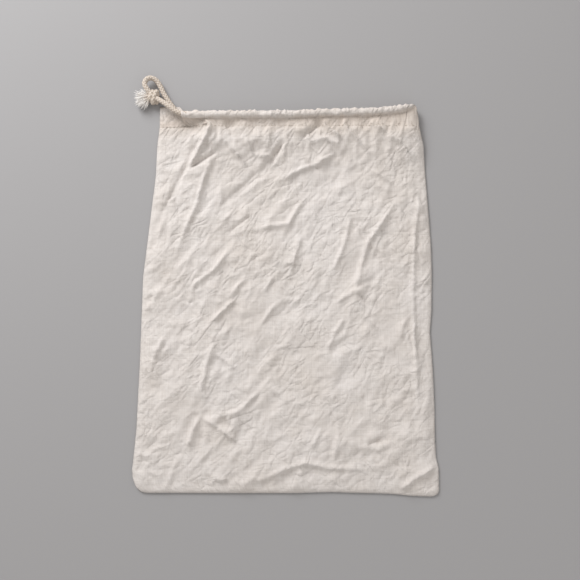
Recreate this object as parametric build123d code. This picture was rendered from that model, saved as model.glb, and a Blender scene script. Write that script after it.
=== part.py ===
"""A flat cotton drawstring shoe bag: two panels, a cord casing along the mouth, and one knotted cord.

The bag lies on its back panel. +X runs across the mouth to the right, +Y runs from the bottom
seam to the mouth, and +Z is up. The origin is at the middle of the outline, on the surface that
the bag lies on. Sizes are in millimetres.
"""

import math
import os

from build123d import *

os.makedirs("parts", exist_ok=True)

# Driving sizes
bag_width = 280.0  # across the bottom corners
mouth_width = 242.0  # across the gathered mouth
bag_height = 356.0  # from the bottom edge to the top of the casings
body_depth = 7.5  # thickness of the flat bag away from the mouth
corner_radius = 10.0  # bottom corners
cloth = 0.5  # one layer of cloth
seam_width = 8.0  # seam allowance inside the edges
seam_thickness = 1.0  # two allowances bound together by their thread
flank_run = 6.0  # width of the slope from the seam up to the top of the body
mouth_rise = 70.0  # length over which the front panel climbs to its casing
mouth_gap = 4.6  # open height between the two casings
casing_depth = 19.0  # from the top fold to the stitch line
cord_diameter = 4.7
cord_clearance = 0.3  # between the cord and the inside of its casing
cord_end_gap = 0.4  # between a sliding cord and its fixed or swinging neighbour
slit_inset = 22.5  # from the left edge of the mouth to the slit that lets the cord out
pivot_outset = 3.0  # from the slit to the point about which the loose cord swings
stitch_width = 0.5
stitch_height = 0.3
stitch_inset = 1.2  # from the lower edge of a casing to its stitches
knot_length = 14.6
knot_width = 10.0
knot_rounding = 4.0  # how far the knot's ends are rounded over
tuft_tip_radius = 4.4
tuft_root_radius = 2.3

# Sizes that follow from them
cord_radius = cord_diameter / 2
channel_radius = cord_radius + cord_clearance
roll_radius = channel_radius + cloth
mouth_depth = 4 * roll_radius + mouth_gap
turn_height = mouth_depth / 2
bottom_y = -bag_height / 2
top_y = bag_height / 2
casing_y = top_y - casing_depth
cord_y = top_y - roll_radius
low_cord_z = roll_radius
high_cord_z = mouth_depth - roll_radius
turn_x = mouth_width / 2 - turn_height
slit_x = slit_inset - mouth_width / 2
pivot_x = slit_x - pivot_outset
rim_z = cloth + seam_thickness
past_mouth = 60.0  # how far the cutting shapes run past the mouth

# Loose cord: points from the slit to the knot, chosen by hand, as offsets from the pivot in X and Y,
# with heights above the surface.
front_tail_offsets = [
    (0.0, 0.0, high_cord_z),
    (-6.5, 4.4, 13.2),
    (-12.8, 8.4, 10.2),
    (-19.0, 12.6, 6.6),
]
back_tail_offsets = [
    (0.0, 0.0, low_cord_z),
    (-5.6, 6.4, 3.25),
    (-10.6, 12.8, 3.35),
    (-14.6, 19.4, 3.3),
    (-17.6, 26.4, 3.5),
    (-22.0, 32.6, 4.8),
    (-28.6, 33.6, 6.6),
    (-32.6, 27.8, 8.0),
    (-29.4, 21.6, 8.0),
    (-25.2, 17.0, 6.4),
]
knot_offset = (-23.1, 15.1)
tuft_lines = {
    "front_end_tuft": [(-27.2, 9.7, 5.0), (-39.6, 4.0, 4.7)],
    "back_end_tuft": [(-28.2, 14.4, 4.9), (-41.8, 16.4, 4.7)],
}
limp_bend_factor = 0.45  # share of the shorter run that an arc of the loose cord takes


def edge_x(y):
    """Half the width of the bag at a height up its outline."""
    return bag_width / 2 + (mouth_width - bag_width) / 2 * (y - bottom_y) / bag_height


def outline(inset, low_z, high_z):
    """A solid slab of the bag's outline, moved in by an inset, that runs on past the mouth."""
    slope = math.atan((bag_width - mouth_width) / 2 / bag_height)
    shift = inset / math.cos(slope)
    far_y = top_y + past_mouth
    near_y = bottom_y + inset
    points = [
        (-edge_x(near_y) + shift, near_y),
        (edge_x(near_y) - shift, near_y),
        (edge_x(far_y) - shift, far_y),
        (-edge_x(far_y) + shift, far_y),
    ]
    slab = extrude(Plane.XY.offset(low_z) * make_face(Polyline(*points, close=True)), high_z - low_z)
    corners = slab.edges().filter_by(Axis.Z).sort_by(Axis.Y)[:2]
    radius = corner_radius - inset
    return fillet(corners, radius) if radius > 0 else slab


def sloped_outline(inset, low_z, high_z, run_per_height):
    """The outline moved in by an inset at its base, with flanks that lean inwards as they rise."""
    base = outline(inset, low_z, low_z + cloth).faces().sort_by(Axis.Z)[0]
    top_inset = inset + (high_z - low_z) * run_per_height
    top = outline(top_inset, high_z, high_z + cloth).faces().sort_by(Axis.Z)[0]
    return Solid.make_loft([base.outer_wire(), top.outer_wire()], ruled=True)


def box_between(low, high):
    size = [b - a for a, b in zip(low, high)]
    centre = [(a + b) / 2 for a, b in zip(low, high)]
    return Pos(*centre) * Box(*size)


def below_mouth():
    """Everything below the casings' stitched edges."""
    low = (-bag_width - mouth_width, bottom_y - past_mouth, -past_mouth)
    high = (bag_width + mouth_width, casing_y, past_mouth + mouth_depth)
    return box_between(low, high)


def side_profile(drop):
    """The space under the front panel's top, seen from the side, lowered by a drop."""
    points = [
        (bottom_y - past_mouth, -past_mouth),
        (bottom_y - past_mouth, body_depth - drop),
        (casing_y - mouth_rise, body_depth - drop),
        (casing_y, mouth_depth - drop),
        (top_y + past_mouth, mouth_depth - drop),
        (top_y + past_mouth, -past_mouth),
    ]
    face = Plane.YZ * make_face(Polyline(*points, close=True))
    return extrude(face, amount=bag_width + mouth_width, both=True)


def make_front_panel():
    """A shallow lid: a rim on the seams, sloping flanks, and a top that climbs to the casing."""
    run_per_height = flank_run / (body_depth - rim_z)
    wall_inset = cloth * math.hypot(1, run_per_height)
    high_z = mouth_depth + cloth
    shell_outer = sloped_outline(seam_width, rim_z, high_z, run_per_height) & side_profile(0)
    shell_inner = sloped_outline(seam_width + wall_inset, rim_z, high_z, run_per_height) & side_profile(cloth)
    rim = outline(0, rim_z, rim_z + cloth) - outline(seam_width + wall_inset / 2, rim_z, rim_z + cloth)
    return (rim + (shell_outer - shell_inner)) & below_mouth()


def make_back_panel():
    """A flat sheet, with a single-layer tab beside the slit where the cord comes out."""
    sheet = outline(0, 0, cloth) & below_mouth()
    tab_points = [(-edge_x(casing_y), casing_y), (-edge_x(top_y), top_y), (slit_x, top_y), (slit_x, casing_y)]
    tab = extrude(make_face(Polyline(*tab_points, close=True)), cloth)
    return sheet + tab


def casing_section():
    """The back casing cut across: a roll round the cord and two flat layers down to the stitches."""
    roll_centre = (cord_y, low_cord_z)
    outer_tail = Pos(casing_y + stitch_inset, cloth) * Rectangle(2 * stitch_inset, 2 * cloth)
    outer_roll = Pos(*roll_centre) * Circle(roll_radius)
    inner_tail = Pos(casing_y + 3 * stitch_inset, cloth + cloth / 10) * Rectangle(stitch_inset, cloth / 5)
    inner_roll = Pos(*roll_centre) * Circle(channel_radius)
    outer = make_hull(outer_tail.edges() + outer_roll.edges())
    inner = make_hull(inner_tail.edges() + inner_roll.edges())
    return outer - inner


def make_back_casing():
    """The casing's straight stretch and the quarter turn at the right-hand end."""
    section = Plane.YZ * casing_section()
    straight = extrude(Pos(turn_x, 0, 0) * section, amount=slit_x - turn_x, dir=(1, 0, 0))
    turn_axis = Axis((turn_x, 0, turn_height), (0, -1, 0))
    corner = revolve(Pos(turn_x, 0, 0) * section, axis=turn_axis, revolution_arc=90)
    return straight + corner


def make_front_casing(back_casing):
    return back_casing.mirror(Plane.XY.offset(turn_height))


def make_side_seam(side):
    """The bound allowance along one slanted edge, from the bottom seam to the casings."""
    band = outline(0, cloth, rim_z) - outline(seam_width, cloth, rim_z)
    half = box_between((0, bottom_y + seam_width, 0), (bag_width, casing_y, mouth_depth))
    return band & (half if side == "right" else half.mirror(Plane.YZ))


def make_bottom_seam():
    band = outline(0, cloth, rim_z) - outline(seam_width, cloth, rim_z)
    low = (-bag_width, bottom_y - seam_width, 0)
    return band & box_between(low, (bag_width, bottom_y + seam_width, mouth_depth))


def make_stitching(near_y, low_z):
    """The row of thread that holds a casing down, from the slit to the right-hand end."""
    return box_between((slit_x, near_y, low_z), (turn_x, near_y + stitch_width, low_z + stitch_height))


def make_cord_run(cord_z):
    """A straight stretch inside a casing, with a round end at the pivot of the loose cord."""
    length = turn_x - cord_end_gap - pivot_x
    run = Pos(pivot_x + length / 2, cord_y, cord_z) * Rot(0, 90, 0) * Cylinder(cord_radius, length)
    return run + Pos(pivot_x, cord_y, cord_z) * Sphere(cord_radius)


def make_cord_turn():
    """The half turn from one casing to the other, inside the right-hand end."""
    section = Plane.YZ.offset(turn_x) * Pos(cord_y, low_cord_z) * Circle(cord_radius)
    return revolve(section, axis=Axis((turn_x, 0, turn_height), (0, -1, 0)), revolution_arc=180)


def from_pivot(offset):
    return Vector(pivot_x + offset[0], cord_y + offset[1], offset[2])


def make_loose_cord(name, offsets):
    """A tube along straight runs joined by tangent arcs, starting just clear of the pivot."""
    points = [from_pivot(offset) for offset in offsets]
    start_gap = cord_radius + cord_end_gap
    points[0] = points[0] + (points[1] - points[0]).normalized() * start_gap
    radii = []
    for before, corner, after in zip(points, points[1:], points[2:]):
        run_in = corner - before
        run_out = after - corner
        half_turn = math.radians(run_in.get_angle(run_out)) / 2
        radii.append(limp_bend_factor * min(run_in.length, run_out.length) / math.tan(half_turn))
    print(name, "radii", [round(radius, 1) for radius in radii])
    path = FilletPolyline(*points, radius=radii)
    start = Plane(origin=points[0], z_dir=points[1] - points[0])
    tube = sweep(start * Circle(cord_radius), path=path)
    fill = tube.volume / (path.length * math.pi * cord_radius**2)
    print(name, "length", round(path.length, 1), "volume over section times length", round(fill, 3))
    return tube


def make_knot():
    """The overhand knot that both cord ends share, as a rounded lump lying on the surface."""
    radius = knot_width / 2
    barrel = Rot(90, 0, 0) * Cylinder(radius, knot_length)
    lump = fillet(barrel.edges().filter_by(GeomType.CIRCLE), knot_rounding)
    return Pos(pivot_x + knot_offset[0], cord_y + knot_offset[1], radius) * lump


def make_tuft(line):
    """A frayed cord end: a cone that widens from the knot to its tip."""
    root, tip = [from_pivot(offset) for offset in line]
    along = tip - root
    plane = Plane(origin=root, z_dir=along)
    cone = Cone(tuft_root_radius, tuft_tip_radius, along.length, align=(Align.CENTER, Align.CENTER, Align.MIN))
    return plane * cone


back_casing = make_back_casing()
nodes = {
    "front_panel": make_front_panel(),
    "back_panel": make_back_panel(),
    "front_casing": make_front_casing(back_casing),
    "back_casing": back_casing,
    "left_side_seam": make_side_seam("left"),
    "right_side_seam": make_side_seam("right"),
    "bottom_seam": make_bottom_seam(),
    "front_casing_stitching": make_stitching(casing_y + stitch_inset / 2, mouth_depth),
    "back_casing_stitching": make_stitching(casing_y - stitch_inset, cloth),
    "cord_front_run": make_cord_run(high_cord_z),
    "cord_back_run": make_cord_run(low_cord_z),
    "cord_turn": make_cord_turn(),
    "cord_front_tail": make_loose_cord("cord_front_tail", front_tail_offsets),
    "cord_back_tail": make_loose_cord("cord_back_tail", back_tail_offsets),
    "cord_knot": make_knot(),
}
for tuft_name, tuft_line in tuft_lines.items():
    nodes[tuft_name] = make_tuft(tuft_line)

for node_name, shape in nodes.items():
    export_step(shape, f"parts/{node_name}.step")
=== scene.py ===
import math
import random

import bpy
import numpy as np
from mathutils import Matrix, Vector, noise
from mathutils.bvhtree import BVHTree


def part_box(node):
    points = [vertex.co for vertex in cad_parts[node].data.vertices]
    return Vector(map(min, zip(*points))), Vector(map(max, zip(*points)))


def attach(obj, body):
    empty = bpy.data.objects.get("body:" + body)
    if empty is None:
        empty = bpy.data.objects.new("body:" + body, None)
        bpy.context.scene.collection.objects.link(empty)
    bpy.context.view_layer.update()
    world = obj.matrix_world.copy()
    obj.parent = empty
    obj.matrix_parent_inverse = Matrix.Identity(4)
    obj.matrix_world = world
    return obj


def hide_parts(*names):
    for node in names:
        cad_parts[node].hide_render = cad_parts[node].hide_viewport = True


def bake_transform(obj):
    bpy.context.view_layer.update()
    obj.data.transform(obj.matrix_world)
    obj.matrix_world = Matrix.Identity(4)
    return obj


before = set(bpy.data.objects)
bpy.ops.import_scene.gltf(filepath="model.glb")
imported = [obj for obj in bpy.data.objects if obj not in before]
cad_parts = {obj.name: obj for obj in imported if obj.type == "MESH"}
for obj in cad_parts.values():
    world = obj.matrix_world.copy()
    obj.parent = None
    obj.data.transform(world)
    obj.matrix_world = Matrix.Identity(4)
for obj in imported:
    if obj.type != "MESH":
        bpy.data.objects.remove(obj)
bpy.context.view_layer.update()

mm = 0.001

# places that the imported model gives, in millimetres
backRun = [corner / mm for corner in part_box("cord_back_run")]
bag = {
    "cordRadius": (backRun[1].z - backRun[0].z) / 2,
    "cordY": (backRun[0].y + backRun[1].y) / 2,
    "backCordZ": (backRun[0].z + backRun[1].z) / 2,
    "pivotX": -101.5,
    "frontCordZ": 10.5,  # the front cord sinks until the two casings nearly touch
    "stitchY": 161.5,
    "bottomY": -177.5,
    "clothThickness": 0.45,
    "flatCloth": (0.282, 0.376),  # metres, with the casing turned out flat
}


def deselectAll():
    if bpy.context.object and bpy.context.object.mode != "OBJECT":
        bpy.ops.object.mode_set(mode="OBJECT")
    bpy.ops.object.select_all(action="DESELECT")


def makeActive(piece):
    deselectAll()
    piece.select_set(True)
    bpy.context.view_layer.objects.active = piece


def readPoints(piece):
    places = np.zeros(len(piece.data.vertices) * 3)
    piece.data.vertices.foreach_get("co", places)
    return places.reshape(-1, 3)


def writePoints(piece, places):
    piece.data.vertices.foreach_set("co", places.ravel())
    piece.data.update()


def smoothStep(low, high, value):
    share = np.clip((value - low) / (high - low), 0.0, 1.0)
    return share * share * (3 - 2 * share)


def follow(points, value):
    # a value read off a line of (place, value) points, straight between them
    places = np.array(points, float)
    return np.interp(value, places[:, 0], places[:, 1])


def addGrid(name, columns, rows):
    deselectAll()
    bpy.ops.mesh.primitive_grid_add(x_subdivisions=columns, y_subdivisions=rows, size=2)
    piece = bpy.context.object
    piece.name = name
    piece.data.name = name
    shares = readPoints(piece)[:, :2] / 2 + 0.5
    return piece, shares[:, 0], shares[:, 1]


def scaleUv(piece, width, height):
    # the flat cloth or the cord's own length, in metres, so that a weave keeps its pitch
    layer = piece.data.uv_layers.active.data
    spots = np.zeros(len(layer) * 2)
    layer.foreach_get("uv", spots)
    spots = spots.reshape(-1, 2) * (width, height)
    layer.foreach_set("uv", spots.ravel())


def closeShell(piece, gap=0.00001):
    makeActive(piece)
    bpy.ops.object.mode_set(mode="EDIT")
    bpy.ops.mesh.select_all(action="SELECT")
    bpy.ops.mesh.remove_doubles(threshold=gap)
    bpy.ops.mesh.normals_make_consistent(inside=False)
    bpy.ops.object.mode_set(mode="OBJECT")
    bpy.ops.object.shade_smooth()


def joinPieces(name, parts):
    deselectAll()
    for part in parts:
        part.select_set(True)
    bpy.context.view_layer.objects.active = parts[0]
    bpy.ops.object.join()
    joined = bpy.context.object
    joined.name = name
    joined.data.name = name
    return joined


def dress(piece, material):
    piece.data.materials.clear()
    piece.data.materials.append(material)
    return piece


# ---- camera, floor and light

camera = {"lookAt": (3.5, 8.0, 0.0), "tiltDeg": 4.5, "distance": 692.0, "lens": 46.2}
light = {"keyPower": 18.9, "fillPower": 2.2, "skyStrength": 0.60}


def makeCamera():
    tilt = math.radians(camera["tiltDeg"])
    look = Vector(camera["lookAt"])
    place = (look + Vector((0, -math.sin(tilt), math.cos(tilt))) * camera["distance"]) * mm
    bpy.ops.object.camera_add(location=place, rotation=(tilt, 0, 0))
    made = bpy.context.object
    made.data.lens = camera["lens"]
    made.data.sensor_width = 36
    bpy.context.scene.camera = made


def addLamp(name, place, size, power, colour):
    bpy.ops.object.light_add(type="AREA", location=place)
    lamp = bpy.context.object
    lamp.name = name
    lamp.data.size = size
    lamp.data.energy = power
    lamp.data.color = colour
    lamp.rotation_euler = (-Vector(place)).to_track_quat("-Z", "Y").to_euler()


def makeStage():
    bpy.ops.mesh.primitive_plane_add(size=4.0, location=(0, 0, -0.0001))
    floor = bpy.context.object
    floor.name = "floor"
    paint = bpy.data.materials.new("paleFloor")
    paint.use_nodes = True
    shader = paint.node_tree.nodes["Principled BSDF"]
    shader.inputs["Base Color"].default_value = (0.34, 0.335, 0.34, 1)
    shader.inputs["Roughness"].default_value = 0.7
    floor.data.materials.append(paint)
    addLamp("windowLight", (-0.70, 1.04, 0.79), 0.7, light["keyPower"], (0.985, 0.99, 1.0))
    addLamp("fillLight", (0.6, -0.9, 0.9), 1.2, light["fillPower"], (0.94, 0.97, 1.0))
    world = bpy.data.worlds.new("softSky")
    world.use_nodes = True
    sky = world.node_tree.nodes["Background"]
    sky.inputs["Color"].default_value = (1.0, 0.965, 0.93, 1)
    sky.inputs["Strength"].default_value = light["skyStrength"]
    bpy.context.scene.world = world
    bpy.context.scene.view_settings.view_transform = "Standard"


makeCamera()
makeStage()
print("stage ready")


# ---- materials

def startGroup(name, inputs, outputs):
    group = bpy.data.node_groups.new(name, "ShaderNodeTree")
    for label, kind, value in inputs:
        socket = group.interface.new_socket(label, in_out="INPUT", socket_type=kind)
        if value is not None:
            socket.default_value = value
    for label, kind in outputs:
        group.interface.new_socket(label, in_out="OUTPUT", socket_type=kind)
    entry = group.nodes.new("NodeGroupInput")
    leaving = group.nodes.new("NodeGroupOutput")
    return group, entry, leaving


def addMath(tree, operation, first, second=None):
    node = tree.nodes.new("ShaderNodeMath")
    node.operation = operation
    for socket, value in zip(node.inputs, (first, second)):
        if value is None:
            continue
        if isinstance(value, (int, float)):
            socket.default_value = value
        else:
            tree.links.new(value, socket)
    return node.outputs[0]


def addNoise(tree, vector, scale, detail=2.0, rough=0.5, distortion=0.0):
    node = tree.nodes.new("ShaderNodeTexNoise")
    node.inputs["Scale"].default_value = scale
    node.inputs["Detail"].default_value = detail
    node.inputs["Roughness"].default_value = rough
    node.inputs["Distortion"].default_value = distortion
    tree.links.new(vector, node.inputs["Vector"])
    return node.outputs["Fac"]


def stretch(tree, vector, size, turnDeg=0.0):
    # makes a noise of scale 1 as long and as wide as size, in metres, along the slant
    node = tree.nodes.new("ShaderNodeMapping")
    node.vector_type = "TEXTURE"
    node.inputs["Scale"].default_value = (*size, 1.0)
    node.inputs["Rotation"].default_value = (0, 0, math.radians(turnDeg))
    tree.links.new(vector, node.inputs["Vector"])
    return node.outputs["Vector"]


def addRamp(tree, factor, stops):
    ramp = tree.nodes.new("ShaderNodeValToRGB")
    ramp.color_ramp.elements[0].position = stops[0][0]
    ramp.color_ramp.elements[0].color = (*stops[0][1], 1)
    ramp.color_ramp.elements[1].position = stops[-1][0]
    ramp.color_ramp.elements[1].color = (*stops[-1][1], 1)
    for place, colour in stops[1:-1]:
        ramp.color_ramp.elements.new(place).color = (*colour, 1)
    tree.links.new(factor, ramp.inputs["Fac"])
    return ramp.outputs["Color"]


def greyStops(*stops):
    return [(place, (value, value, value)) for place, value in stops]


def separate(tree, vector):
    node = tree.nodes.new("ShaderNodeSeparateXYZ")
    tree.links.new(vector, node.inputs[0])
    return node.outputs


def addGroup(tree, group, vector):
    node = tree.nodes.new("ShaderNodeGroup")
    node.node_tree = group
    tree.links.new(vector, node.inputs["Vector"])
    return node.outputs


def creasedNoise(tree, vector):
    # distance of a broad noise from its middle value, which is sharp where it crosses it
    field = addNoise(tree, vector, 1.0, 1.0, 0.4, 0.5)
    return addMath(tree, "ABSOLUTE", addMath(tree, "SUBTRACT", field, 0.5))


weaveLook = {
    "threads": 1250.0,  # to the metre
    "slubWidth": 0.0011, "slubLength": 0.020,
    "crossing": 0.35, "slub": 2.2,
}


def makeWeaveGroup():
    # threads both ways, with thick and thin places along each of them
    group, entry, leaving = startGroup(
        "plainWeave",
        [("Vector", "NodeSocketVector", None), ("Threads", "NodeSocketFloat", weaveLook["threads"])],
        [("Height", "NodeSocketFloat"), ("Slub", "NodeSocketFloat")],
    )
    flat = entry.outputs["Vector"]
    parts = separate(group, flat)
    waves = []
    for axis in ("X", "Y"):
        turn = addMath(group, "MULTIPLY", parts[axis], 2 * math.pi)
        turn = addMath(group, "MULTIPLY", turn, entry.outputs["Threads"])
        waves.append(addMath(group, "SINE", turn))
    crossing = addMath(group, "MULTIPLY", waves[0], waves[1])
    size = (weaveLook["slubWidth"], weaveLook["slubLength"])
    warp = addNoise(group, stretch(group, flat, size), 1.0, 2.0, 0.6)
    weft = addNoise(group, stretch(group, flat, size[::-1]), 1.0, 2.0, 0.6)
    slub = addMath(group, "ADD", warp, weft)
    slub = addMath(group, "MULTIPLY", slub, 0.5)
    group.links.new(slub, leaving.inputs["Slub"])
    height = addMath(group, "MULTIPLY", crossing, weaveLook["crossing"])
    height = addMath(group, "ADD", height, addMath(group, "MULTIPLY", slub, weaveLook["slub"]))
    group.links.new(height, leaving.inputs["Height"])
    return group


crinkleSlants = [  # slant in degrees, length and width in metres, share of the height
    (56.0, (0.024, 0.0095), 1.0),
    (24.0, (0.017, 0.0080), 0.8),
    (-50.0, (0.014, 0.0070), 0.7),
]


def makeCrinkleGroup():
    # the fine set creases of washed cotton, mostly along one slant and fainter in some places
    group, entry, leaving = startGroup(
        "washedCrinkle", [("Vector", "NodeSocketVector", None)], [("Height", "NodeSocketFloat")]
    )
    flat = entry.outputs["Vector"]
    total = None
    for turnDeg, size, share in crinkleSlants:
        crease = creasedNoise(group, stretch(group, flat, size, turnDeg))
        crease = addMath(group, "MULTIPLY", crease, share)
        total = crease if total is None else addMath(group, "ADD", total, crease)
    calm = addRamp(group, addNoise(group, flat, 22.0, 2.0), greyStops((0.36, 0.35), (0.62, 1.0)))
    group.links.new(addMath(group, "MULTIPLY", total, calm), leaving.inputs["Height"])
    return group


def startMaterial(name, roughness, sheen):
    material = bpy.data.materials.new(name)
    material.use_nodes = True
    tree = material.node_tree
    shader = tree.nodes["Principled BSDF"]
    shader.inputs["Roughness"].default_value = roughness
    shader.inputs["Sheen Weight"].default_value = sheen
    shader.inputs["Specular IOR Level"].default_value = 0.25
    coordinates = tree.nodes.new("ShaderNodeTexCoord")
    return material, tree, shader, coordinates


def addBump(tree, height, distance, strength, under=None):
    bump = tree.nodes.new("ShaderNodeBump")
    bump.inputs["Distance"].default_value = distance
    bump.inputs["Strength"].default_value = strength
    tree.links.new(height, bump.inputs["Height"])
    if under is not None:
        tree.links.new(under, bump.inputs["Normal"])
    return bump.outputs["Normal"]


def mixColours(tree, factor, first, second, kind="MIX"):
    node = tree.nodes.new("ShaderNodeMix")
    node.data_type = "RGBA"
    node.blend_type = kind
    sockets = (node.inputs[0], node.inputs[6], node.inputs[7])
    for socket, value in zip(sockets, (factor, first, second)):
        if isinstance(value, (int, float)):
            socket.default_value = value
        elif isinstance(value, tuple):
            socket.default_value = (*value, 1)
        else:
            tree.links.new(value, socket)
    return node.outputs[2]


clothLook = {
    "pale": (0.705, 0.668, 0.645),
    "warm": (0.655, 0.608, 0.570),
    "seed": (0.46, 0.37, 0.28),  # flecks of cotton husk left in unbleached cloth
    "slub": [(0.36, (0.90, 0.885, 0.87)), (0.62, (1.04, 1.04, 1.04))],
    "casingShadeAndTan": [  # the hem is painted tan on the flat below the roll and round the roll's outer side and underside, and left pale along the roll's top: painted shade under the roll, over some of the cloth's own tan
        (0.88, (1.0, 1.0, 1.0)), (0.912, (0.95, 0.92, 0.885)),
        (0.934, (0.93, 0.88, 0.83)), (0.948, (1.0, 0.995, 0.99)),
        (0.965, (0.97, 0.94, 0.91)), (0.985, (0.93, 0.88, 0.83)),
    ],
    "weaveDepth": 0.00022,
    "crinkleDepth": 0.0046,
    "puckerDepth": 0.0042,
    "puckerSize": (0.020, 0.0075), "puckerSlant": 52.0,
    "onHem": [(0.87, 0.0), (0.905, 1.0), (1.0, 1.0)],
    "fleckAbove": 0.735, "fleckShare": 0.35,
}


def makeClothMaterial(name, weaveGroup, crinkleGroup, crinkle=1.0, warm=0.0):
    material, tree, shader, coordinates = startMaterial(name, 0.86, 0.12)
    flat = coordinates.outputs["UV"]
    weave = addGroup(tree, weaveGroup, flat)
    folds = addGroup(tree, crinkleGroup, flat)
    broad = addNoise(tree, flat, 14.0, 3.0, 0.6)
    stops = [(0.35 - warm, clothLook["pale"]), (0.75 - warm, clothLook["warm"])]
    tint = addRamp(tree, broad, stops)
    thread = addRamp(tree, weave["Slub"], clothLook["slub"])
    colour = mixColours(tree, 1.0, tint, thread, "MULTIPLY")
    height = separate(tree, flat)["Y"]
    ragged = addMath(tree, "SUBTRACT", addNoise(tree, flat, 90.0, 2.0), 0.5)
    ragged = addMath(tree, "ADD", height, addMath(tree, "MULTIPLY", ragged, 0.012))
    raggedShare = addMath(tree, "MULTIPLY", ragged, 1 / bag["flatCloth"][1])
    # painted shade under the roll and a paler roll top, mixed into the hem's colour along the cloth's
    # height
    band = addRamp(tree, raggedShare, clothLook["casingShadeAndTan"])
    colour = mixColours(tree, 1.0, colour, band, "MULTIPLY")
    fleck = addNoise(tree, flat, 420.0, 2.0, 0.5)
    fleck = addMath(tree, "GREATER_THAN", fleck, clothLook["fleckAbove"])
    fleck = addMath(tree, "MULTIPLY", fleck, clothLook["fleckShare"])
    colour = mixColours(tree, fleck, colour, clothLook["seed"])
    tree.links.new(colour, shader.inputs["Base Color"])
    slanted = stretch(tree, flat, clothLook["puckerSize"], clothLook["puckerSlant"])
    pucker = creasedNoise(tree, slanted)
    upShare = addMath(tree, "MULTIPLY", height, 1 / bag["flatCloth"][1])
    onHem = addRamp(tree, upShare, greyStops(*clothLook["onHem"]))
    pucker = addMath(tree, "MULTIPLY", pucker, onHem)
    normal = addBump(tree, folds["Height"], clothLook["crinkleDepth"], 0.76 * crinkle)
    normal = addBump(tree, pucker, clothLook["puckerDepth"], 0.85 * crinkle, normal)
    normal = addBump(tree, weave["Height"], clothLook["weaveDepth"], 0.8, normal)
    tree.links.new(normal, shader.inputs["Normal"])
    return material


braid = {"pitch": 0.0030, "strands": 4, "depth": 0.0004}


def makeCordMaterial(name, pale, shade):
    # plaited yarn: two sets of strands cross round the cord, and the low places between them are painted
    # darker as painted shade
    material, tree, shader, coordinates = startMaterial(name, 0.82, 0.15)
    parts = separate(tree, coordinates.outputs["UV"])
    along = addMath(tree, "MULTIPLY", parts["X"], 2 * math.pi / braid["pitch"])
    turn = addMath(tree, "MULTIPLY", parts["Y"], 2 * math.pi * braid["strands"])
    crossing = addMath(tree, "MULTIPLY", addMath(tree, "SINE", turn), addMath(tree, "SINE", along))
    fuzz = addNoise(tree, coordinates.outputs["Object"], 2600.0, 3.0, 0.6)
    height = addMath(tree, "ADD", crossing, fuzz)
    # painted shade: the colour darkens where the plait sinks between its strands
    shadeBy = addMath(tree, "MULTIPLY_ADD", height, 0.3)
    shadeBy.node.inputs[2].default_value = 0.3
    tree.links.new(addRamp(tree, shadeBy, [(0.15, shade), (0.75, pale)]), shader.inputs["Base Color"])
    tree.links.new(addBump(tree, height, braid["depth"], 0.7), shader.inputs["Normal"])
    return material


def makeFibreMaterial(name, pale, shade, length=None):
    # where a length is given, the yarn is painted darker tan at its root and whitens to its loose end:
    # painted shade where the fibres crowd together
    material, tree, shader, coordinates = startMaterial(name, 0.8, 0.2)
    fuzz = addNoise(tree, coordinates.outputs["Object"], 900.0, 3.0, 0.6)
    colour = addRamp(tree, fuzz, [(0.3, shade), (0.65, pale)])
    if length:
        parts = separate(tree, coordinates.outputs["UV"])
        along = addMath(tree, "MULTIPLY", parts["X"], 1 / length)
        # painted shade at the fibres' roots
        root = addRamp(tree, along, [(0.0, (0.62, 0.54, 0.47)), (0.55, (1.0, 1.0, 1.0))])
        colour = mixColours(tree, 1.0, colour, root, "MULTIPLY")
    tree.links.new(colour, shader.inputs["Base Color"])
    tree.links.new(addBump(tree, fuzz, 0.0001, 0.4), shader.inputs["Normal"])
    return material


weaveGroup = makeWeaveGroup()
crinkleGroup = makeCrinkleGroup()
clothMaterial = makeClothMaterial("washedCotton", weaveGroup, crinkleGroup)
seamMaterial = makeClothMaterial("seamCotton", weaveGroup, crinkleGroup, crinkle=0.4, warm=0.1)
cordMaterial = makeCordMaterial("plaitedCord", (0.70, 0.63, 0.565), (0.47, 0.39, 0.315))
# the knot's copy has deeper painted shade in its grooves and paler raised strands, painted shade for the
# shade inside the knot
knotMaterial = makeCordMaterial("knottedCord", (0.72, 0.65, 0.58), (0.45, 0.37, 0.295))
threadMaterial = makeFibreMaterial("sewingThread", (0.72, 0.66, 0.60), (0.50, 0.43, 0.36))
frayMaterial = makeFibreMaterial("frayedYarn", (1.0, 0.99, 0.97), (0.78, 0.73, 0.69), 0.015)
print("materials ready")


# ---- cord

cord = {
    "sides": 22,
    "step": 0.5,
    "ribDepth": 0.05,  # share of the radius
    "ribPitch": 3.4,
    "ribStrands": 4,
    "frontTail": [
        (9.0, -2.8, 10.4), (0.0, -1.8, 10.3), (-6.5, 3.6, 10.2), (-12.8, 8.2, 9.2),
        (-18.8, 12.4, 7.4), (-23.6, 14.8, 5.4),
    ],
    "backTail": [
        (9.0, -2.8, 3.3), (0.0, -1.2, 3.3), (-5.6, 6.0, 3.35), (-10.6, 12.8, 3.4), (-14.6, 19.4, 3.4),
        (-17.6, 26.4, 3.6), (-22.0, 32.6, 4.8), (-28.6, 33.6, 6.4), (-32.6, 27.8, 7.6),
        (-29.4, 21.6, 7.8), (-25.2, 17.0, 6.4), (-23.0, 15.0, 5.2),
    ],
    "frontLength": 0.038,
    "backLength": 0.078,
    "runLine": [
        (-96, 172.3), (-60, 171.5), (3.5, 171.5), (24, 172.2), (60, 173.4), (84, 174.2), (104, 176.0),
    ],
    "hiddenSides": 16, "runStep": 0.9,
    "turnReach": 3.2, "turnPoints": 8, "turnThinness": 0.9, "turnStep": 0.6,
    "joinAt": 1.0, "bendEnd": -11.0,  # from the pivot, where a swung tail starts and stops bending
}


def fromPivot(offsets):
    return [
        Vector((bag["pivotX"] + x, bag["cordY"] + y, z)) * mm
        for x, y, z in offsets
    ]


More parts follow.
